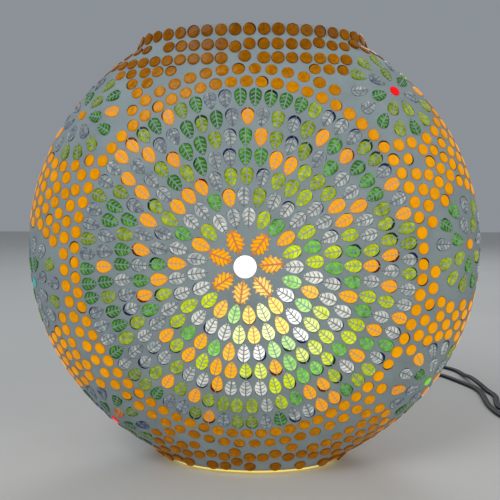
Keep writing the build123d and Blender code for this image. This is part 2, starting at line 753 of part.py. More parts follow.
def cord_tie():
    """Band round one side of the coil."""
    middle = COIL_LOW + COIL_H / 2
    outer = Box(COIL_WIDTH + 3.2, 6.0, COIL_H + 1.9)
    outer = fillet(outer.edges().filter_by(Axis.Y), 2.6)
    inner = Box(COIL_WIDTH + 1.6, 8.0, COIL_H + 0.3)
    band = outer - fillet(inner.edges().filter_by(Axis.Y), 1.8)
    return Pos(COIL_AT[0] + COIL_MID_R, COIL_AT[1], middle) * band


# ---- Switch on the cord -------------------------------------------------
SWITCH_H = 17.0
SWITCH_SPLIT = 8.0      # height of the joint between its two halves
ROCKER_W = 10.0
ROCKER_LEAN = 6.0       # the rocker leans this far either way
ROCKER_AXIS_Z = 11.0
WINDOW_L = 18.8


def at_switch(shape):
    return Pos(SWITCH_AT[0], SWITCH_AT[1], 0) * Rot(0, 0, SWITCH_TURN) * shape


def switch_block(low, high):
    """The switch housing's outline between two heights."""
    block = SlotOverall(SWITCH_L, SWITCH_W)
    return extrude(Pos(0, 0, low) * block, high - low)


def switch_lower():
    body = switch_block(0.05, SWITCH_SPLIT)
    body = chamfer(body.edges().group_by(Axis.Z)[0], 0.8)
    cavity = Pos(0, 0, 1.8 + 10) * Box(30.0, 16.0, 20.0)
    for sign in (-1, 1):
        cavity = cavity + Pos(sign * 18, 0, 1.8 + 10) * Box(8.0, 8.0, 20.0)
        cavity = cavity + Pos(sign * (SWITCH_L / 2 - 4), 0, 6.0) * Rot(0, 90, 0) * Cylinder(2.9, 14)
        cavity = cavity + Pos(sign * 18, 8.0, 4) * Cylinder(1.6, 12)
    return at_switch(body - cavity)


def switch_upper():
    body = switch_block(SWITCH_SPLIT + 0.05, SWITCH_H)
    body = fillet(body.edges().group_by(Axis.Z)[-1], 3.0)
    cavity = Pos(0, 0, 5.0) * Box(30.0, 16.0, 18.0)
    window = Pos(0, 0, 14.0) * Box(WINDOW_L, ROCKER_W + 0.8, 12.0)
    for sign in (-1, 1):
        cavity = cavity + Pos(sign * 18, 8.0, 6.0) * Cylinder(1.1, 12)
        cavity = cavity + Pos(sign * (SWITCH_L / 2 - 4), 0, 6.0) * Rot(0, 90, 0) * Cylinder(2.9, 14)
    return at_switch(body - cavity - window)


def switch_rocker():
    """Rocker with a shallow V top, pressed down at its lamp end, and its pivot pin."""
    wedge = Polyline((-8, 2.0), (-8, 7.6), (0, 6.2), (8, 7.6), (8, 2.0), (0, -2.2), close=True)
    body = extrude(Plane.XZ * make_face(wedge), ROCKER_W / 2, both=True)
    body = fillet(body.edges().filter_by(lambda e: e.center().Z > 7.0 and abs(e.center().X) > 7.5
                                         and e.length > 9.0), 0.7)
    pin = Rot(90, 0, 0) * Cylinder(1.4, 14.0)
    return at_switch(Pos(0, 0, ROCKER_AXIS_Z) * Rot(0, -ROCKER_LEAN, 0) * (body + pin))


def switch_carrier():
    """Contact block under the rocker, with open bearings for its pin."""
    block = Pos(0, 0, 3.5) * Box(24.0, 15.0, 3.0)
    for sign in (-1, 1):
        cheek = Pos(0, sign * 6.6, 8.2) * Box(7.0, 1.8, 6.6)
        cheek = cheek - Pos(0, sign * 6.6, ROCKER_AXIS_Z) * Rot(90, 0, 0) * Cylinder(1.5, 6.0)
        block = block + cheek
    return at_switch(block)


def switch_screws():
    screws = []
    for sign in (-1, 1):
        screw = Pos(sign * 18, 8.0, 5.6) * Cylinder(1.0, 9.0) + Pos(sign * 18, 8.0, 1.4) * Cylinder(1.5, 1.4)
        screws.append(at_switch(screw))
    return screws


def switch_sleeves():
    """Tapered strain-relief sleeves where the cord enters and leaves."""
    profile = make_face(Polyline(
        (2.25, 0), (4.2, 0), (4.0, 4.0), (3.0, SLEEVE - 0.05), (2.25, SLEEVE - 0.05), close=True))
    sleeve = revolve(profile, Axis.Y)
    sleeves = []
    for turn in (-90, 90):
        sign = 1 if turn < 0 else -1
        placed = Pos(sign * (SWITCH_L / 2 + 0.05), 0, 6.0) * Rot(0, 0, turn) * sleeve
        sleeves.append(at_switch(placed))
    return sleeves


# ---- Plug ---------------------------------------------------------------
PLUG_AT = (12.5, 110.5)  # middle of its pin face
PLUG_TURN = 259.0
PLUG_Z = 7.1
PLUG_W, PLUG_H, PLUG_L = 35.0, 14.0, 34.0


def at_plug(shape):
    return Pos(PLUG_AT[0], PLUG_AT[1], PLUG_Z) * Rot(0, 0, PLUG_TURN) * shape


def plug_body():
    """Flat two-pin plug, narrowing towards its cord."""
    face_end = Plane.YZ * SlotOverall(PLUG_W, PLUG_H)
    tail_end = Plane.YZ.offset(-PLUG_L) * SlotOverall(15.0, 10.0)
    body = loft([tail_end.face(), face_end.face()])
    return at_plug(body)


def plug_pins():
    pins = []
    for y in (-9.5, 9.5):
        bare = Pos(9.55, y, 0) * Rot(0, 90, 0) * Cylinder(2.0, 19.0)
        pins.append(at_plug(chamfer(bare.edges().group_by(Axis.X)[-1], 0.9)))
    return pins


def plug_sleeve():
    profile = make_face(Polyline((0, 0), (4.2, 0), (4.0, 5.0), (2.9, 26.0), (0, 26.0), close=True))
    sleeve = revolve(profile, Axis.Y)
    return at_plug(Pos(-PLUG_L - 0.05, 0, 0) * Rot(0, 0, 90) * sleeve)


# ---- Write --------------------------------------------------------------
def write(node, solids):
    solids = solids if isinstance(solids, list) else [solids]
    pieces = [piece for item in solids for piece in item.solids()]
    shape = pieces[0] if len(pieces) == 1 else Compound(pieces)
    shape.label = node
    export_step(shape, "parts/%s.step" % node)


def main():
    os.makedirs("parts", exist_ok=True)
    lay_tiles()
    for node, solids in sorted(TILES.items()):
        print(node, len(solids))
        write(node, solids)
    write("glass_globe", shell_of(FOOT_Z, LIP_Z, GLASS_DEPTH, GLASS_T))
    write("grout_bed", shell_of(BED_BOTTOM_Z, BED_TOP_Z, BED_DEPTH, BED_T))
    for node, make in PIECES.items():
        write(node, make())


PIECES = {
    "base_pan": base_pan,
    "base_cover": base_cover,
    "base_ballast": base_ballast,
    "base_feet": base_feet,
    "base_posts": base_posts,
    "cover_screws": cover_screws,
    "cord_grommet": grommet,
    "holder_nipple": nipple,
    "nipple_nut": lambda: hex_nut(11.0),
    "nipple_washer": lambda: spring_washer(13.7),
    "holder_cap": holder_cap,
    "holder_shell": holder_shell,
    "holder_ring": holder_ring,
    "holder_insert": holder_insert,
    "holder_thread": holder_thread,
    "centre_contact": centre_contact,
    "terminal_screws": terminal_screws,
    "inner_wires": inner_wires,
    "bulb_cap": bulb_cap,
    "bulb_cap_insulator": bulb_cap_insulator,
    "bulb_contact": bulb_contact,
    "bulb_neck": bulb_neck,
    "bulb_glow": bulb_glow,
    "cord_lead": lambda: cord_tube(lead_points()),
    "cord_run": lambda: cord_tube(run_points()),
    "cord_coil": cord_coil,
    "cord_tail": lambda: cord_tube(TAIL_ROUTE),
    "cord_tie": cord_tie,
    "switch_lower": switch_lower,
    "switch_upper": switch_upper,
    "switch_rocker": switch_rocker,
    "switch_carrier": switch_carrier,
    "switch_screws": switch_screws,
    "switch_sleeves": switch_sleeves,
    "plug_body": plug_body,
    "plug_pins": plug_pins,
    "plug_sleeve": plug_sleeve,
}

main()
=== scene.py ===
import itertools
import math
import random

import bpy
import numpy as np
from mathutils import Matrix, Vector


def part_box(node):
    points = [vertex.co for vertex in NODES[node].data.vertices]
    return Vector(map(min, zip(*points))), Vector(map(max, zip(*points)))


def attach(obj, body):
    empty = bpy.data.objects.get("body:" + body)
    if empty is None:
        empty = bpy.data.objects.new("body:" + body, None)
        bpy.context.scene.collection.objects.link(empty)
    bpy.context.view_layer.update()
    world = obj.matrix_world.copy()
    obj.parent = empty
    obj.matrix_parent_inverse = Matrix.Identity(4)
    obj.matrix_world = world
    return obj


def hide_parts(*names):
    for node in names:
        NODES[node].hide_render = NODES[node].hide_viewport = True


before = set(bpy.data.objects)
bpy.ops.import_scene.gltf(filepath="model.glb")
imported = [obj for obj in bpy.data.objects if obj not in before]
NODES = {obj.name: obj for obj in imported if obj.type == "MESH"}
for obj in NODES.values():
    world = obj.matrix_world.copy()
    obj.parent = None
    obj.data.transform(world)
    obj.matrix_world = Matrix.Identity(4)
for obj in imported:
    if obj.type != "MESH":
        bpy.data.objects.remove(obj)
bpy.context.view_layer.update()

SCENE = bpy.context.scene
MM = 0.001

# ---- Sizes --------------------------------------------------------------
GLASS_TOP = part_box("glass_globe")[1][2]
BED_LOW, BED_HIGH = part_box("grout_bed")
TILE_T = 2.4 * MM
BED_DEPTH = 2.45 * MM       # from the outer form down to the face of the grout bed
BODY_R = (BED_HIGH[0] - BED_LOW[0]) / 2 + BED_DEPTH
CENTRE_Z = 145.5 * MM       # the level where the body is widest

# ---- Camera, lights and floor -------------------------------------------
CAMERA_REACH = 381.25 * MM
CAMERA_TURN, CAMERA_RISE = math.radians(2.0), math.radians(5.0)
AIM_LEFT, AIM_UP = 1.17 * MM, 0.69 * MM
LENS, SENSOR = 39.98, 36.0


def make_camera():
    """Camera a little above the middle of the body and a little to its right."""
    centre = Vector((0, 0, CENTRE_Z))
    away = Vector((math.sin(CAMERA_TURN) * math.cos(CAMERA_RISE),
                   -math.cos(CAMERA_TURN) * math.cos(CAMERA_RISE), math.sin(CAMERA_RISE)))
    right = Vector((math.cos(CAMERA_TURN), math.sin(CAMERA_TURN), 0))
    up = right.cross(-away)
    data = bpy.data.cameras.new("camera")
    data.lens = LENS
    data.sensor_width = SENSOR
    data.clip_start = 0.01
    data.clip_end = 20.0
    camera = bpy.data.objects.new("camera", data)
    camera.location = centre + away * CAMERA_REACH
    target = centre - right * AIM_LEFT + up * AIM_UP
    camera.rotation_euler = (target - camera.location).to_track_quat("-Z", "Y").to_euler()
    SCENE.collection.objects.link(camera)
    SCENE.camera = camera


def area_light(name, place, target, size, power, colour):
    data = bpy.data.lights.new(name, "AREA")
    data.shape = "SQUARE"
    data.size = size
    data.energy = power
    data.color = colour
    light = bpy.data.objects.new(name, data)
    light.location = place
    light.rotation_euler = (Vector(target) - Vector(place)).to_track_quat("-Z", "Y").to_euler()
    SCENE.collection.objects.link(light)


def make_lights():
    """Cool daylight from the upper left, with softer light from the other sides and all round."""
    area_light("key", (-0.7, -0.9, 1.3), (0, 0, 0.15), 0.7, 9.0, (0.93, 0.97, 1.0))
    area_light("fill", (1.0, -0.8, 0.9), (0, 0, 0.15), 0.9, 4.0, (1.0, 0.97, 0.92))
    area_light("low", (0.25, -1.1, 0.25), (0, 0, 0.08), 0.7, 1.6, (1.0, 0.93, 0.80))
    area_light("back", (0.2, 1.3, 1.2), (0, 0, 0.15), 0.9, 6.0, (0.95, 0.97, 1.0))
    world = bpy.data.worlds.new("studio")
    world.use_nodes = True
    background = world.node_tree.nodes["Background"]
    background.inputs["Color"].default_value = (0.62, 0.68, 0.74, 1)
    background.inputs["Strength"].default_value = 0.42
    SCENE.world = world
    SCENE.view_settings.view_transform = "Standard"


# ---- Materials ----------------------------------------------------------
def new_material(name):
    material = bpy.data.materials.new(name)
    material.use_nodes = True
    tree = material.node_tree
    return material, tree, tree.nodes["Principled BSDF"]


def maths(tree, operation, a, b=None):
    node = tree.nodes.new("ShaderNodeMath")
    node.operation = operation
    for slot, value in enumerate((a, b)):
        if value is None:
            continue
        if isinstance(value, (int, float)):
            node.inputs[slot].default_value = value
        else:
            tree.links.new(value, node.inputs[slot])
    return node.outputs[0]


def scaled(tree, value, factor, offset):
    """value * factor + offset."""
    result = maths(tree, "MULTIPLY_ADD", value, factor)
    result.node.inputs[2].default_value = offset
    return result


def smooth_mask(tree, value, low, high):
    """0 at low and before it, 1 at high and past it, with a soft step between."""
    node = tree.nodes.new("ShaderNodeMapRange")
    node.interpolation_type = "SMOOTHSTEP"
    tree.links.new(value, node.inputs["Value"])
    node.inputs["From Min"].default_value = low
    node.inputs["From Max"].default_value = high
    return node.outputs["Result"]


def mix_colours(tree, factor, a, b):
    node = tree.nodes.new("ShaderNodeMix")
    node.data_type = "RGBA"
    for slot, value in ((0, factor), (6, a), (7, b)):
        if isinstance(value, (int, float)):
            node.inputs[slot].default_value = value
        elif isinstance(value, tuple):
            node.inputs[slot].default_value = (*value, 1)
        else:
            tree.links.new(value, node.inputs[slot])
    return node.outputs[2]


def noise_value(tree, scale, detail, roughness):
    node = tree.nodes.new("ShaderNodeTexNoise")
    node.inputs["Scale"].default_value = scale
    node.inputs["Detail"].default_value = detail
    node.inputs["Roughness"].default_value = roughness
    coordinates = tree.nodes.new("ShaderNodeTexCoord")
    tree.links.new(coordinates.outputs["Object"], node.inputs["Vector"])
    return node.outputs["Fac"]


def bump(tree, shader, height, strength, distance):
    node = tree.nodes.new("ShaderNodeBump")
    node.inputs["Strength"].default_value = strength
    node.inputs["Distance"].default_value = distance
    tree.links.new(height, node.inputs["Height"])
    tree.links.new(node.outputs["Normal"], shader.inputs["Normal"])


def ramp(tree, factor, stops):
    node = tree.nodes.new("ShaderNodeValToRGB")
    elements = node.color_ramp.elements
    while len(elements) < len(stops):
        elements.new(0.5)
    for element, (place, colour) in zip(elements, stops):
        element.position = place
        element.color = (*colour, 1)
    tree.links.new(factor, node.inputs["Fac"])
    return node.outputs["Color"]


GROUT = (0.285, 0.345, 0.36)
# Veins: pitch, slope, width and reach.
LEAF_VEINS = (0.44, 0.40, 0.10, 0.80)
MAPLE_VEINS = (0.36, 0.75, 0.085, 0.95)
DARK_VEIN = (0.13, 0.15, 0.155)
RED_VEIN = (0.62, 0.20, 0.09)
WARM_VEIN = (0.62, 0.36, 0.22)
VEIN_TONES = {"clear": DARK_VEIN, "orange": WARM_VEIN}
TONE_PLACES = (0.0, 0.3, 0.62, 1.0)     # light levels of a glass's four tones
MOTTLE_SCALE, FLECK_SCALE = 330.0, 1300.0
CRESCENT_WOBBLE = 0.35
RIM_DARKENING = 0.6                     # of the rim's colour: painted shade along the tile's edge
CRESCENT_DIMMING = 0.6                  # of the light through the crescent
BODY_DARKENING = 0.88                   # of the unlit glass against the lit one
VEIN_DIMMING = 0.84                     # of the light through a vein
ROUND_ROUGHNESS, LEAF_ROUGHNESS = 0.10, 0.14
VEIN_ROUGHNESS = 0.5                    # added to the leaf's own


def attribute(tree, name):
    node = tree.nodes.new("ShaderNodeAttribute")
    node.attribute_name = name
    return node.outputs


def split_vector(tree, vector):
    node = tree.nodes.new("ShaderNodeSeparateXYZ")
    tree.links.new(vector, node.inputs[0])
    return node.outputs


def tile_place(tree):
    """Place on the tile, from -1 to 1 along it and across it."""
    uv = tree.nodes.new("ShaderNodeUVMap")
    uv.uv_map = "tile"
    split = split_vector(tree, uv.outputs["UV"])
    return scaled(tree, split["X"], 2.0, -1.0), scaled(tree, split["Y"], 2.0, -1.0)


def crescent_mask(tree, along, beside, wobble):
    """1 outside a copy of the tile's outline that is pushed to one side."""
    lean = split_vector(tree, attribute(tree, "lean")["Vector"])
    shifted_x = maths(tree, "ADD", along, lean["X"])
    shifted_y = maths(tree, "ADD", beside, lean["Y"])
    squares = maths(tree, "ADD", maths(tree, "MULTIPLY", shifted_x, shifted_x),
                    maths(tree, "MULTIPLY", shifted_y, shifted_y))
    reach = maths(tree, "ADD", maths(tree, "SQRT", squares), maths(tree, "MULTIPLY", wobble, CRESCENT_WOBBLE))
    return smooth_mask(tree, reach, 1.0, 1.07)


def tile_material(name, tones, veins, mottle, vein_tone=GROUT):
    """Lit glass: colour by how much light comes through, painted shade as a dark rim and a dark crescent at one
    edge, and grout in the veins.
    """
    material, tree, shader = new_material(name)
    links = tree.links
    dark = tones[0]
    along, beside = tile_place(tree)
    # Mottled glass.
    coarse = noise_value(tree, MOTTLE_SCALE, 3.0, 0.55)
    fine = noise_value(tree, FLECK_SCALE, 2.0, 0.6)
    wobble = scaled(tree, coarse, mottle, -0.5 * mottle)
    flecks = scaled(tree, fine, mottle * 0.5, -0.25 * mottle)
    level = maths(tree, "ADD", attribute(tree, "glow")["Fac"], maths(tree, "ADD", wobble, flecks))
    colour = ramp(tree, level, list(zip(TONE_PLACES, tones)))
    # Painted shade: a dark rim along the tile's edge and a dark crescent at one side.
    crescent = crescent_mask(tree, along, beside, wobble)
    rim = maths(tree, "MULTIPLY", attribute(tree, "rim")["Fac"], RIM_DARKENING)
    colour = mix_colours(tree, rim, colour, dark)
    colour = mix_colours(tree, crescent, colour, dark)
    lit = maths(tree, "SUBTRACT", 1.0, maths(tree, "MULTIPLY", crescent, CRESCENT_DIMMING))
    base = mix_colours(tree, BODY_DARKENING, colour, dark)
    if veins:
        vein = vein_mask(tree, along, beside, *veins)
        base = mix_colours(tree, vein, base, vein_tone)
        passed = maths(tree, "SUBTRACT", 1.0, maths(tree, "MULTIPLY", vein, VEIN_DIMMING))
        lit = maths(tree, "MULTIPLY", lit, passed)
        links.new(scaled(tree, vein, VEIN_ROUGHNESS, LEAF_ROUGHNESS), shader.inputs["Roughness"])
    else:
        shader.inputs["Roughness"].default_value = ROUND_ROUGHNESS
    emission = mix_colours(tree, lit, (0.0, 0.0, 0.0), colour)
    links.new(base, shader.inputs["Base Color"])
    links.new(emission, shader.inputs["Emission Color"])
    shader.inputs["Emission Strength"].default_value = 0.92
    shader.inputs["IOR"].default_value = 1.5
    shader.inputs["Specular IOR Level"].default_value = 0.07
    bump(tree, shader, coarse, 0.35, 0.0008)
    return material


def vein_mask(tree, along, beside, pitch, slope, width, reach):
    """A leaf's midrib and its side veins, which slope back towards the tip.

    pitch, slope and width are shares of the leaf's half-length, reach a share of its half-width.
    """
    away = maths(tree, "ABSOLUTE", beside)
    midrib = smooth_mask(tree, away, 0.125, 0.055)
    curve = maths(tree, "MULTIPLY", maths(tree, "POWER", away, 1.5), slope)
    place = scaled(tree, maths(tree, "ADD", along, curve), 1.0 / pitch, 0.09)
    near = maths(tree, "ABSOLUTE", maths(tree, "SUBTRACT", maths(tree, "FRACT", place), 0.5))
    half = 0.5 * width / pitch
    side = smooth_mask(tree, near, half + 0.05, half - 0.04)
    side = maths(tree, "MULTIPLY", side, smooth_mask(tree, away, reach, reach - 0.14))
    return maths(tree, "MAXIMUM", midrib, side)


def grout_material():
    """Sandy cement, a little cleaner and lighter in places."""
    material, tree, shader = new_material("grout")
    tone = noise_value(tree, 45.0, 4.0, 0.6)
    sand = noise_value(tree, 2600.0, 2.0, 0.7)
    mixed = maths(tree, "ADD", maths(tree, "MULTIPLY", tone, 0.7), maths(tree, "MULTIPLY", sand, 0.3))
    colour = ramp(tree, mixed, [(0.25, (0.22, 0.27, 0.285)), (0.5, GROUT), (0.75, (0.34, 0.405, 0.42))])
    tree.links.new(colour, shader.inputs["Base Color"])
    shader.inputs["Roughness"].default_value = 0.72
    bump(tree, shader, sand, 0.35, 0.0002)
    return material


def plain_material(name, colour, roughness, metallic=0.0, grain=300.0, spread=0.12, coat=0.0, relief=0.1):
    """Painted, moulded or metal surface with a fine uneven tone and grain."""
    material, tree, shader = new_material(name)
    tone = noise_value(tree, grain, 3.0, 0.6)
    low = tuple(c * (1 - spread) for c in colour)
    high = tuple(min(1.0, c * (1 + spread) + 0.004) for c in colour)
    tree.links.new(ramp(tree, tone, [(0.3, low), (0.7, high)]), shader.inputs["Base Color"])
    tree.links.new(scaled(tree, tone, 0.16, roughness - 0.08), shader.inputs["Roughness"])
    shader.inputs["Metallic"].default_value = metallic
    shader.inputs["Coat Weight"].default_value = coat
    bump(tree, shader, tone, relief, 0.0001)
    return material


def glass_material():
    """Thick greenish-cream glass, lit through from inside and brightest at its foot."""
    material, tree, shader = new_material("globe_glass")
    coordinates = tree.nodes.new("ShaderNodeTexCoord")
    place = split_vector(tree, coordinates.outputs["Object"])
    height = smooth_mask(tree, place["Z"], 0.0, GLASS_TOP)
    swirl = noise_value(tree, 60.0, 3.0, 0.5)
    level = maths(tree, "ADD", height, maths(tree, "MULTIPLY", maths(tree, "SUBTRACT", swirl, 0.5), 0.12))
    colour = ramp(tree, level, [(0.0, (1.0, 0.78, 0.22)), (0.08, (0.95, 0.62, 0.16)), (0.5, (0.9, 0.6, 0.25)),
                                (1.0, (0.62, 0.58, 0.46))])
    tree.links.new(colour, shader.inputs["Base Color"])
    tree.links.new(colour, shader.inputs["Emission Color"])
    shader.inputs["Emission Strength"].default_value = 0.55
    shader.inputs["Roughness"].default_value = 0.08
    shader.inputs["Coat Weight"].default_value = 0.6
    bump(tree, shader, swirl, 0.1, 0.001)
    return material


def bulb_material():
    """Frosted diffuser with a cloudy warm glow."""
    material, tree, shader = new_material("bulb_frost")
    cloud = noise_value(tree, 90.0, 2.0, 0.5)
    colour = ramp(tree, cloud, [(0.3, (1.0, 0.80, 0.48)), (0.7, (1.0, 0.86, 0.60))])
    tree.links.new(colour, shader.inputs["Base Color"])
    tree.links.new(colour, shader.inputs["Emission Color"])
    shader.inputs["Emission Strength"].default_value = 14.0
    shader.inputs["Roughness"].default_value = 0.4
    return material


# ---- Form of the body ---------------------------------------------------
# Heights here are from the widest level. Pairs are for the width and the depth.
DEPTH_RATIO = 0.43
LIP_Z = 141.0 * MM
FOOT_Z = -145.5 * MM
LEAVES_ROUND_Z = ((130.2 * MM, -136.0 * MM), (106.75 * MM, -114.4 * MM))
LIP_AXES = (72.5 * MM, 38.0 * MM)
LIP_SLOPES = (-0.35, -0.10)
FOOT_AXES = (60.5 * MM, 29.0 * MM)
FOOT_SLOPES = (0.45, 0.42)


def blend(z, z0, v0, s0, z1, v1, s1):
    """Cubic from value v0 and slope s0 at z0 to value v1 and slope s1 at z1."""
    h = z1 - z0
    t = (z - z0) / h
    return (v0 * (2 * t ** 3 - 3 * t ** 2 + 1) + h * s0 * (t ** 3 - 2 * t ** 2 + t)
            + v1 * (3 * t ** 2 - 2 * t ** 3) + h * s1 * (t ** 3 - t ** 2))


def half_axis(z, which):
    """Half-width (0) or half-depth (1) of the outer form."""
    ratio = (1.0, DEPTH_RATIO)[which]
    upper, lower = LEAVES_ROUND_Z[which]
    necks = ((upper, LIP_Z, LIP_AXES, LIP_SLOPES), (lower, FOOT_Z, FOOT_AXES, FOOT_SLOPES))
    for edge, end, axes, slopes in necks:
        is_past = z > edge if end > 0 else z < edge
        if is_past:
            round_half = math.sqrt(BODY_R ** 2 - edge ** 2)
            slope = -ratio * edge / round_half
            return blend(z, edge, ratio * round_half, slope, end, axes[which], slopes[which])
    return ratio * math.sqrt(BODY_R ** 2 - z ** 2)


def inset_axis(z, which, depth):
    """Half-axis of the form that lies a depth under the outer one, measured square to it."""
    step = 0.05 * MM
    slope = (half_axis(z + step, which) - half_axis(z - step, which)) / (2 * step)
    return half_axis(z, which) - depth * math.sqrt(1 + slope ** 2)


# ---- Meshes -------------------------------------------------------------
def new_object(name, vertices, faces, material):
    mesh = bpy.data.meshes.new(name)
    mesh.from_pydata([tuple(v) for v in vertices], [], [tuple(f) for f in faces])
    mesh.materials.append(material)
    mesh.polygons.foreach_set("use_smooth", [True] * len(mesh.polygons))
    mesh.update()
    piece = bpy.data.objects.new(name, mesh)
    SCENE.collection.objects.link(piece)
    return piece


def islands(node):
    """The separate solids of a CAD node, each as an array of its points."""
    mesh = NODES[node].data
    points = np.zeros(len(mesh.vertices) * 3)
    mesh.vertices.foreach_get("co", points)
    points = points.reshape(-1, 3)
    keys, index = np.unique(np.round(points, 6), axis=0, return_inverse=True)
    index = np.ravel(index)
    parent = np.arange(len(keys))
    edges = np.zeros(len(mesh.edges) * 2, dtype=int)
    mesh.edges.foreach_get("vertices", edges)
    edges = index[edges.reshape(-1, 2)]
    changed = True
    while changed:
        low = np.minimum(parent[edges[:, 0]], parent[edges[:, 1]])
        before = parent.copy()
        np.minimum.at(parent, edges[:, 0], low)
        np.minimum.at(parent, edges[:, 1], low)
        parent = parent[parent]
        changed = bool((before != parent).any())
    return [keys[parent == root] for root in np.unique(parent)]


def outward(point):
    """Rough outward direction of the body at a point."""
    return np.array([point[0], point[1] / DEPTH_RATIO ** 2, point[2] - CENTRE_Z])


def tile_frame(points):
    """Middle of a tile's underside, its long direction, outward normal, half-length and half-width."""
    middle = points.mean(axis=0)
    vectors = np.linalg.eigh(np.cov((points - middle).T))[1]
    normal = vectors[:, 0]
    if normal @ outward(middle) < 0:
        normal = -normal
    heights = (points - middle) @ normal
    long = vectors[:, 2]
    wide = np.cross(normal, long)
    flat = points - np.outer(heights, normal)
    reach = (flat - middle) @ long
    spread = (flat - middle) @ wide
    centre = middle + long * (reach.max() + reach.min()) / 2 + wide * (spread.max() + spread.min()) / 2
    bottom = centre + normal * heights.min()
    return bottom, long, normal, (reach.max() - reach.min()) / 2, (spread.max() - spread.min()) / 2


PETAL_REACH = 33 * MM       # a flower's petals are nearer to its centre than this
DISC_LAG = 40 * MM          # added to the way to a centre disc, so that petals point at their own flower


def middles(node):
    return [points.mean(axis=0) for points in islands(node)]


DISC_CENTRES = middles("centre_discs")
FLOWER_CENTRES = [middle for colour in ("red", "amber", "green", "teal")
                  for middle in middles("flower_centres_" + colour)]


def towards_centre(middle):
    """Direction from a leaf to the middle of the pattern that it belongs to."""
    ways = []
    for centre in DISC_CENTRES:
        ways.append((np.linalg.norm(centre - middle) + DISC_LAG, centre))
    for centre in FLOWER_CENTRES:
        gap = np.linalg.norm(centre - middle)
        if gap <= PETAL_REACH:
            ways.append((gap, centre))
    return min(ways, key=lambda way: way[0])[1] - middle


# Templates are lists of vertices in shares of half-length, half-width and thickness.
ROUND_SEGMENTS = 26
ROUND_PROFILE = [(1.0, 0.0), (1.0, 0.80), (0.975, 0.93), (0.92, 1.0), (0.70, 1.045), (0.35, 1.065)]
ROUND_PEAK = 1.07


def flat_uvs(vertices):
    return [((v[0] + 1) / 2, (v[1] + 1) / 2) for v in vertices]


def round_template():
    """Flat round gem with a pressed, rounded edge."""
    vertices = []
    faces = []
    for radius, height in ROUND_PROFILE:
        for k in range(ROUND_SEGMENTS):
            angle = 2 * math.pi * k / ROUND_SEGMENTS
            vertices.append((radius * math.cos(angle), radius * math.sin(angle), height))
    vertices.append((0, 0, ROUND_PEAK))
    rings = len(ROUND_PROFILE)
    for ring in range(rings - 1):
        for k in range(ROUND_SEGMENTS):
            j = (k + 1) % ROUND_SEGMENTS
            faces.append((ring * ROUND_SEGMENTS + k, ring * ROUND_SEGMENTS + j,
                          (ring + 1) * ROUND_SEGMENTS + j, (ring + 1) * ROUND_SEGMENTS + k))
    top = (rings - 1) * ROUND_SEGMENTS
    for k in range(ROUND_SEGMENTS):
        faces.append((top + k, top + (k + 1) % ROUND_SEGMENTS, len(vertices) - 1))
    faces.append(tuple(reversed(range(ROUND_SEGMENTS))))
    return vertices, faces, flat_uvs(vertices)


LEAF_STEPS = 24
LEAF_ACROSS = [-1.0, -1.0, -0.94, -0.8, -0.55, -0.28, -0.1, 0.1, 0.28, 0.55, 0.8, 0.94, 1.0, 1.0]
LEAF_HEIGHTS = [0.0, 0.80, 0.97, 1.03, 1.07, 1.09, 1.03, 1.03, 1.09, 1.07, 1.03, 0.97, 0.80, 0.0]
LEAF_EDGE = 0.80            # height of the leaf's upright edge
LEAF_WIDEST = 0.40          # where a leaf is widest, as a share of its half-length
LEAF_SIDE = (-0.32, 0.80)   # a point on its side
LEAF_RATIO = 0.65           # half-width over half-length


def circle_through(a, b, c):
    """Centre and radius of the circle through three points of a plane."""
    d = 2 * (a[0] * (b[1] - c[1]) + b[0] * (c[1] - a[1]) + c[0] * (a[1] - b[1]))
    squares = [p[0] ** 2 + p[1] ** 2 for p in (a, b, c)]
    x = (squares[0] * (b[1] - c[1]) + squares[1] * (c[1] - a[1]) + squares[2] * (a[1] - b[1])) / d
    y = (squares[0] * (c[0] - b[0]) + squares[1] * (a[0] - c[0]) + squares[2] * (b[0] - a[0])) / d
    return (x, y), math.hypot(a[0] - x, a[1] - y)


SIDE_ARC = circle_through((-1.0, 0.0), (LEAF_SIDE[0], LEAF_SIDE[1] * LEAF_RATIO), (LEAF_WIDEST, LEAF_RATIO))
END_ARC = circle_through((LEAF_WIDEST, LEAF_RATIO), (1.0, 0.0), (LEAF_WIDEST, -LEAF_RATIO))


def leaf_half_width(x):
    """Half-width of a leaf at x, both as shares of its half-length and half-width."""
    (middle_x, middle_y), radius = SIDE_ARC if x <= LEAF_WIDEST else END_ARC
    inside = max(0.0, radius ** 2 - (x - middle_x) ** 2)
    return max(0.0, (middle_y + math.sqrt(inside)) / LEAF_RATIO)


def leaf_template():
    """Pressed leaf gem with a hollow along its midrib, tip at -X."""
    vertices = []
    faces = []
    columns = len(LEAF_ACROSS)
    for i in range(LEAF_STEPS + 1):
        x = -math.cos(math.pi * i / LEAF_STEPS)
        half = leaf_half_width(x)
        fullness = min(1.0, half * 1.6 + 0.35)
        for share, height in zip(LEAF_ACROSS, LEAF_HEIGHTS):
            if height > LEAF_EDGE:
                height = LEAF_EDGE + (height - LEAF_EDGE) * fullness
            vertices.append((x, share * half, height))
    for i in range(LEAF_STEPS):
        for k in range(columns - 1):
            a = i * columns + k
            faces.append((a, a + columns, a + columns + 1, a + 1))
    return vertices, faces, flat_uvs(vertices)


# Half of a maple leaf's outline from its tip to its other end, in shares of its length and half-width.
MAPLE_HALF = [(-0.54, 0.02), (-0.36, 0.20), (-0.37, 0.48), (-0.26, 0.42), (-0.21, 0.84), (-0.10, 0.60),
              (0.02, 0.96), (0.10, 0.58), (0.24, 0.80), (0.27, 0.44), (0.43, 0.52), (0.41, 0.24), (0.55, 0.0)]
MAPLE_PROFILE = [(1.0, 0.0), (1.0, 0.82), (0.93, 1.0), (0.5, 1.06)]
MAPLE_PEAK = 1.08


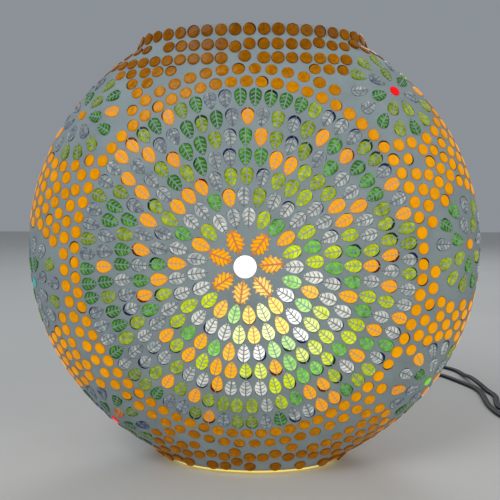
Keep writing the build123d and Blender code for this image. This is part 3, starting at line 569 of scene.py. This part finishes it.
def maple_template():
    """Lobed maple leaf with a bevelled edge, tip at -X."""
    outline = [(2 * x, y) for x, y in MAPLE_HALF] + [(2 * x, -y) for x, y in reversed(MAPLE_HALF[:-1])]
    vertices = []
    faces = []
    for scale, height in MAPLE_PROFILE:
        vertices += [(x * scale, y * scale, height) for x, y in outline]
    vertices.append((0, 0, MAPLE_PEAK))
    n = len(outline)
    top = (len(MAPLE_PROFILE) - 1) * n
    for ring in range(len(MAPLE_PROFILE) - 1):
        for k in range(n):
            j = (k + 1) % n
            faces.append((ring * n + j, ring * n + k, (ring + 1) * n + k, (ring + 1) * n + j))
    for k in range(n):
        faces.append((top + (k + 1) % n, top + k, len(vertices) - 1))
    return vertices, faces, flat_uvs(vertices)


# ---- Light through the tiles --------------------------------------------
HOT_X, HOT_Z = 13 * MM, 110 * MM        # where the bulb is nearest behind the wall
HOT_REACH = 25 * MM
WARM_REACH = 62 * MM
FACE_Y = 40 * MM            # the front and back faces are farther out than this
LEAF_GLOW, LEAF_WARM, LEAF_HOT = 0.29, 0.38, 0.42
LEAF_END_LOSS, LEAF_LOW_LOSS = 0.10, 0.14
ROUND_GLOW, ROUND_HOT, ROUND_END_LOSS = 0.63, 0.3, 0.46
SIDE_GAIN = 0.05
GLOW_SCATTER = 0.045


def ease(value, low, high):
    """0 at low and below it, 1 at high and above it, with a soft step between."""
    share = min(1.0, max(0.0, (value - low) / (high - low)))
    return share * share * (3 - 2 * share)


def glow_at(point, leaf, draw):
    """How brightly the bulb shows through the wall at a point, 0 to 1."""
    height = abs(point[2] - CENTRE_Z) / BODY_R
    gap = (point[0] - HOT_X) ** 2 + (point[2] - HOT_Z) ** 2
    hot = math.exp(-gap / HOT_REACH ** 2) if abs(point[1]) > FACE_Y else 0.0
    if leaf:
        level = LEAF_GLOW + LEAF_WARM * math.exp(-gap / WARM_REACH ** 2) + LEAF_HOT * hot
        level -= LEAF_END_LOSS * ease(height, 0.45, 0.9)
        level -= LEAF_LOW_LOSS * ease((CENTRE_Z - point[2]) / BODY_R, 0.35, 0.75)
    else:
        level = ROUND_GLOW - ROUND_END_LOSS * ease(height, 0.42, 0.93) + ROUND_HOT * hot
    return level + SIDE_GAIN * point[0] / BODY_R + draw.uniform(-GLOW_SCATTER, GLOW_SCATTER)


LEAF_SWELL = 1.035          # the leaves are drawn this much larger than the CAD's

# Depths of the dark crescent of painted shade at a tile's outward edge, as shares of its half-size.
SHADOWS = (0.0, 0.02, 0.04, 0.07, 0.12, 0.20, 0.33)
SHADOW_SWING = 0.9          # how far a crescent may turn from the outward side, in radians
SHADOW_START = 0.3          # share of its depth that a crescent has at the middle of the body
SHADOW_FULL = 0.7           # crescents deepen by their whole depth over this share of the body's radius
RIM_TOP, RIM_FADE = 1.03, 0.10      # heights of a tile's dark rim of painted shade, as shares of its thickness


def crescent_lean(bottom, long, wide, draw):
    """Which way and how far the tile's crescent of painted shade is pushed, along it and across it."""
    away = np.array([bottom[0], 0.0, bottom[2] - CENTRE_Z])
    radius = np.linalg.norm(away)
    away = away / max(radius, 1e-6)
    strength = draw.choice(SHADOWS) * min(1.0, SHADOW_START + radius / (SHADOW_FULL * BODY_R))
    angle = math.atan2(away @ wide, away @ long) + draw.uniform(-SHADOW_SWING, SHADOW_SWING)
    return strength * math.cos(angle), strength * math.sin(angle), 0.0


def set_attribute(mesh, name, kind, field, values):
    mesh.attributes.new(name, kind, "POINT").data.foreach_set(field, np.array(values).ravel())


def make_tiles(node, template, material, pointed, seed):
    """A template laid over every solid of a CAD node.

    Pointed tiles turn their tips to the centre of their pattern.
    """
    draw = random.Random(seed)
    shape, shape_faces, shape_uvs = template
    shape = np.array(shape)
    # How much of the painted shade on the tile's edge each template point takes.
    rim_shares = [min(1.0, max(0.0, (RIM_TOP - height) / RIM_FADE)) for height in shape[:, 2]]
    vertices = []
    faces = []
    uvs = []
    glows = []
    leans = []
    rims = []
    for points in islands(node):
        bottom, long, normal, half_long, half_wide = tile_frame(points)
        if pointed:
            if long @ towards_centre(bottom) > 0:
                long = -long
            half_long *= LEAF_SWELL
            half_wide *= LEAF_SWELL
        wide = np.cross(normal, long)
        start = len(vertices)
        placed = (bottom + np.outer(shape[:, 0] * half_long, long) + np.outer(shape[:, 1] * half_wide, wide)
                  + np.outer(shape[:, 2] * TILE_T, normal))
        vertices.extend(placed.tolist())
        faces.extend([tuple(start + i for i in face) for face in shape_faces])
        uvs.extend(shape_uvs)
        leans.extend([crescent_lean(bottom, long, wide, draw)] * len(shape))
        glows.extend([glow_at(bottom, pointed, draw)] * len(shape))
        rims.extend(rim_shares)
    piece = new_object(node + "_glass", vertices, faces, material)
    mesh = piece.data
    layer = mesh.uv_layers.new(name="tile")
    loops = np.zeros(len(mesh.loops), dtype=int)
    mesh.loops.foreach_get("vertex_index", loops)
    layer.data.foreach_set("uv", np.array(uvs)[loops].ravel())
    set_attribute(mesh, "glow", "FLOAT", "value", glows)
    set_attribute(mesh, "rim", "FLOAT", "value", rims)
    set_attribute(mesh, "lean", "FLOAT_VECTOR", "vector", leans)
    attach(piece, "globe")
    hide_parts(node)
    return piece


GROUT_TOP = 0.22 * MM       # depths under the outer form
GROUT_FOOT = 3.2 * MM


def make_grout(material):
    """Grout between the tiles: a shell from the glass to just under the tiles' faces."""
    around = 360
    rows = 130
    low = BED_LOW[2] - CENTRE_Z
    high = BED_HIGH[2] - CENTRE_Z
    vertices = []
    faces = []
    for depth in (GROUT_TOP, GROUT_FOOT):
        for row in range(rows + 1):
            z = low + (high - low) * row / rows
            a, b = inset_axis(z, 0, depth), inset_axis(z, 1, depth)
            for k in range(around):
                angle = 2 * math.pi * k / around
                vertices.append((a * math.cos(angle), b * math.sin(angle), z + CENTRE_Z))
    layer = (rows + 1) * around
    for row in range(rows):
        for k in range(around):
            j = (k + 1) % around
            a, b = row * around + k, row * around + j
            faces.append((a, b, b + around, a + around))
            faces.append((layer + b, layer + a, layer + a + around, layer + b + around))
    for k in range(around):
        j = (k + 1) % around
        faces.append((k, layer + k, layer + j, j))
        top = rows * around
        faces.append((top + j, layer + top + j, layer + top + k, top + k))
    piece = new_object("grout", vertices, faces, material)
    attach(piece, "globe")
    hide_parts("grout_bed")


# ---- Cord, in mm --------------------------------------------------------
FLEX_W, FLEX_T = 5.3, 2.7   # flat twin flex
LIE = FLEX_T / 2 + 0.1      # height of its middle where it lies on the table
HOP = LIE + 4.0             # and where it crosses over itself
SWITCH_AT = (95.0, 125.0)
SWITCH_TURN = 48.0
SWITCH_HALF = 31.0
SWITCH_Z = 6.0
SLEEVE = 20.0
IN_SWITCH = 20.0            # how far from the switch's middle its cores are still straight
SLEEVE_LEAD, SLEEVE_TAIL = 17.0, 15.0   # from a sleeve's end to where the flex has nearly come down
NEAR_SLEEVE_Z = 3.4
LEAD_ROUTE = [
    (0, 39.0, 9.0), (0.5, 52.0, 6.4), (4.5, 61.5, 2.6), (13, 67.5, LIE), (26, 67.0, LIE), (39, 67.5, LIE),
]
RUN_ROUTE = [
    (150, 186.0, LIE), (164, 195.0, LIE), (179, 195.5, LIE), (190.5, 186.5, LIE), (197.5, 173.0, LIE),
    (204, 160.0, LIE), (210, 146.0, LIE), (210, 130.0, LIE), (206, 113.0, LIE), (204, 95.0, LIE),
    (205.5, 78.0, LIE), (211, 61.0, LIE), (223, 50.0, LIE), (238, 50.5, LIE), (245, 64.0, LIE),
    (236, 77.0, LIE), (221, 81.0, LIE), (210.5, 95.0, LIE), (214.5, 110.5, LIE), (220.5, 126.0, LIE),
    (218, 140.0, LIE), (213.5, 156.0, HOP), (211.5, 172.0, HOP), (212.5, 188.0, LIE), (210, 204.0, LIE),
    (200, 217.0, LIE), (184, 224.5, LIE), (164, 228.0, LIE), (143, 232.5, LIE), (120, 235.5, LIE),
    (97, 235.5, 6.0), (75.5, 234.0, 9.6),
]
COIL_AT = (55.0, 205.0)
# Radius and height of each turn of the coil.
COIL_TURNS = [(27.2, 8.6), (27.2, 5.6), (27.2, 2.6), (32.8, 2.6), (32.8, 5.6), (32.8, 8.6)]
TURNS = 5.25
TURN_POINTS = 14
COIL_STEP = 0.25            # last share of a turn, where the flex passes to the next one
TAIL_ROUTE = [(24.6, 184.2, 8.0), (24.9, 177.0, 7.4), (24.0, 167.0, 7.1)]


def switch_point(reach, z):
    """Point on the switch's long axis."""
    angle = math.radians(SWITCH_TURN)
    return SWITCH_AT[0] + reach * math.cos(angle), SWITCH_AT[1] + reach * math.sin(angle), z


def coil_points():
    """Turns that go down the inner column of the coil and up the outer one."""
    points = []
    count = int(TURNS * TURN_POINTS)
    for i in range(1, count):
        turn = i / TURN_POINTS
        k = int(turn)
        share = ease(turn - k, 1 - COIL_STEP, 1)
        here, after = COIL_TURNS[k], COIL_TURNS[min(k + 1, len(COIL_TURNS) - 1)]
        radius = here[0] + (after[0] - here[0]) * share
        z = here[1] + (after[1] - here[1]) * share
        angle = math.pi / 2 + 2 * math.pi * turn
        points.append((COIL_AT[0] + radius * math.cos(angle), COIL_AT[1] + radius * math.sin(angle), z))
    return points


def cord_route():
    """Control points of the whole flex."""
    ends = SWITCH_HALF + SLEEVE
    through = [switch_point(-ends - SLEEVE_LEAD, NEAR_SLEEVE_Z)]
    through += [switch_point(reach, SWITCH_Z) for reach in (-ends, -IN_SWITCH, IN_SWITCH, ends)]
    through += [switch_point(ends + SLEEVE_TAIL, NEAR_SLEEVE_Z)]
    return LEAD_ROUTE + through + RUN_ROUTE + coil_points() + TAIL_ROUTE


def spline_points(name, route):
    """Points along the NURBS spline whose control points are the route."""
    curve = bpy.data.curves.new(name, "CURVE")
    curve.dimensions = "3D"
    spline = curve.splines.new("NURBS")
    spline.points.add(len(route) - 1)
    for point, place in zip(spline.points, route):
        point.co = (place[0] * MM, place[1] * MM, place[2] * MM, 1)
    spline.order_u = 3
    spline.use_endpoint_u = True
    curve.resolution_u = 8
    carrier = bpy.data.objects.new(name, curve)
    mesh = bpy.data.meshes.new_from_object(carrier)
    points = [tuple(v.co) for v in mesh.vertices]
    bpy.data.meshes.remove(mesh)
    bpy.data.objects.remove(carrier)
    bpy.data.curves.remove(curve)
    return points


CORE_ARC = 230.0            # degrees of each core's outline that show outside the other
CORE_POINTS = 9


def flex_section():
    """Outline of two round cores moulded side by side."""
    core = FLEX_T / 2 * MM
    gap = (FLEX_W - FLEX_T) / 2 * MM
    outline = []
    for sign in (1, -1):
        for k in range(CORE_POINTS):
            angle = math.radians(CORE_ARC * (k / (CORE_POINTS - 1) - 0.5))
            outline.append((sign * (gap + core * math.cos(angle)), sign * core * math.sin(angle)))
    return outline


def make_cord(material):
    """Flex swept along its route from the base through the switch and the coil to the plug."""
    path = spline_points("cord_route", cord_route())
    section = flex_section()
    count = len(section)
    vertices = []
    faces = []
    for i, place in enumerate(path):
        here = Vector(place)
        ahead = Vector(path[min(i + 1, len(path) - 1)]) - Vector(path[max(i - 1, 0)])
        ahead.normalize()
        side = ahead.cross(Vector((0, 0, 1))).normalized()
        up = side.cross(ahead)
        for x, y in section:
            vertices.append(tuple(here + side * x + up * y))
    for i in range(len(path) - 1):
        for k in range(count):
            j = (k + 1) % count
            a, b = i * count + k, i * count + j
            faces.append((a, b, b + count, a + count))
    faces.append(tuple(reversed(range(count))))
    faces.append(tuple(range((len(path) - 1) * count, len(path) * count)))
    piece = new_object("cord", vertices, faces, material)
    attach(piece, "base")
    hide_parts("cord_lead", "cord_run", "cord_coil", "cord_tail")


# ---- Build --------------------------------------------------------------
FLOOR_HALF = 3.0


def make_floor():
    material = plain_material("floor", (0.62, 0.61, 0.59), 0.7, grain=6.0, spread=0.02, relief=0.0)
    corners = [(x * FLOOR_HALF, y * FLOOR_HALF, 0) for x, y in ((-1, -1), (1, -1), (1, 1), (-1, 1))]
    floor = new_object("floor", corners, [(0, 1, 2, 3)], material)


# Tones of lit glass: in shadow, far from the bulb, near it and in front of it.
AMBER = ((0.05, 0.012, 0.0), (0.27, 0.10, 0.0), (0.76, 0.30, 0.0), (1.1, 0.50, 0.0))
LIME = ((0.006, 0.03, 0.001), (0.20, 0.26, 0.0), (0.76, 0.88, 0.0), (1.22, 1.25, 0.62))
GREEN = ((0.004, 0.02, 0.006), (0.035, 0.16, 0.010), (0.22, 0.66, 0.06), (0.85, 1.2, 0.50))
CLEAR = ((0.004, 0.010, 0.05), (0.26, 0.295, 0.285), (0.76, 0.76, 0.66), (1.25, 1.25, 1.2))
ORANGE = ((0.09, 0.008, 0.0), (0.90, 0.36, 0.0), (1.05, 0.52, 0.0), (1.3, 1.05, 0.25))
MAPLE = ((0.12, 0.008, 0.0), (0.95, 0.32, 0.002), (1.05, 0.50, 0.002), (1.3, 1.15, 0.45))
RED = ((0.2, 0.0, 0.0), (0.8, 0.004, 0.006), (1.0, 0.01, 0.012), (1.0, 0.05, 0.03))
TEAL = ((0.0, 0.02, 0.03), (0.01, 0.16, 0.17), (0.05, 0.34, 0.33), (0.3, 0.8, 0.7))
WHITE = ((0.7, 0.7, 0.6), (1.05, 1.05, 1.02), (1.1, 1.1, 1.1), (1.1, 1.1, 1.1))


# Tones, slot and mottling of each colour of leaf, and tones and slot of each kind of centre.
LEAVES = {"lime": (LIME, "lime_glass", 0.5), "green": (GREEN, "green_glass", 0.6),
          "clear": (CLEAR, "clear_glass_tile", 0.7), "orange": (ORANGE, "orange_glass", 0.25)}
CENTRES = {"centre_discs": (WHITE, "clear_glass_tile"), "flower_centres_red": (RED, "red_glass"),
           "flower_centres_amber": (AMBER, "amber_glass"), "flower_centres_green": (GREEN, "green_glass"),
           "flower_centres_teal": (TEAL, "clear_glass_tile")}
SIDES = ("front", "back")


def make_rounds(seeds):
    amber = tile_material("amber_glass", AMBER, None, 0.34)
    for zone in ("upper", "middle", "lower"):
        for side in SIDES:
            piece = make_tiles("rounds_%s_%s" % (zone, side), round_template(), amber, False, next(seeds))


def make_leaves(seeds):
    for colour, (tones, slot_name, mottle) in LEAVES.items():
        material = tile_material(colour + "_leaf", tones, LEAF_VEINS, mottle, VEIN_TONES.get(colour, GROUT))
        for side in SIDES:
            piece = make_tiles("leaves_%s_%s" % (colour, side), leaf_template(), material, True, next(seeds))
    maple = tile_material("maple_leaf", MAPLE, MAPLE_VEINS, 0.35, RED_VEIN)
    make_tiles("maple_leaves", maple_template(), maple, True, next(seeds))


def make_centres(seeds):
    for node, (tones, slot_name) in CENTRES.items():
        material = tile_material(node, tones, None, 0.1)
        make_tiles(node, round_template(), material, False, next(seeds))


def make_mosaic():
    seeds = itertools.count(1)
    make_rounds(seeds)
    make_leaves(seeds)
    make_centres(seeds)
    make_grout(grout_material())


def paint_nodes(materials):
    """The CAD's own meshes, shown with these materials."""
    for node, material in materials.items():
        mesh = NODES[node].data
        mesh.materials.clear()
        mesh.materials.append(material)


def make_fittings():
    black = plain_material("black_plastic", (0.018, 0.018, 0.019), 0.32, grain=900.0)
    rubber = plain_material("black_rubber", (0.013, 0.013, 0.014), 0.5, grain=700.0)
    steel = plain_material("plated_steel", (0.62, 0.62, 0.64), 0.25, metallic=1.0, grain=1500.0)
    brass = plain_material("brass", (0.72, 0.50, 0.20), 0.28, metallic=1.0, grain=1200.0)
    paint = plain_material("base_paint", (0.03, 0.03, 0.032), 0.4, grain=500.0, coat=0.3)
    iron = plain_material("cast_weight", (0.05, 0.05, 0.05), 0.7, grain=250.0, relief=0.5)
    cream = plain_material("insulator", (0.72, 0.69, 0.62), 0.35, grain=400.0)
    white = plain_material("bulb_plastic", (0.80, 0.79, 0.76), 0.4, grain=300.0, spread=0.04)
    wire = plain_material("wire_sleeve", (0.16, 0.06, 0.02), 0.35, grain=600.0)
    paint_nodes({
        "glass_globe": glass_material(), "bulb_glow": bulb_material(), "bulb_neck": white, "bulb_cap": steel,
        "bulb_contact": steel, "bulb_cap_insulator": black, "base_pan": paint, "base_cover": paint,
        "base_ballast": iron, "base_feet": rubber, "base_posts": steel, "cover_screws": steel,
        "cord_grommet": rubber, "holder_nipple": brass, "nipple_nut": steel, "nipple_washer": steel,
        "holder_cap": black, "holder_shell": black, "holder_ring": black, "holder_insert": cream,
        "holder_thread": brass, "centre_contact": brass, "terminal_screws": brass, "inner_wires": wire,
        "cord_tie": black, "switch_lower": black, "switch_upper": black, "switch_rocker": black,
        "switch_carrier": cream, "switch_screws": steel, "switch_sleeves": rubber, "plug_body": black,
        "plug_pins": steel, "plug_sleeve": rubber,
    })


make_camera()
make_lights()
make_floor()
make_cord(plain_material("cord_black", (0.012, 0.012, 0.013), 0.42, grain=500.0))
make_mosaic()
make_fittings()
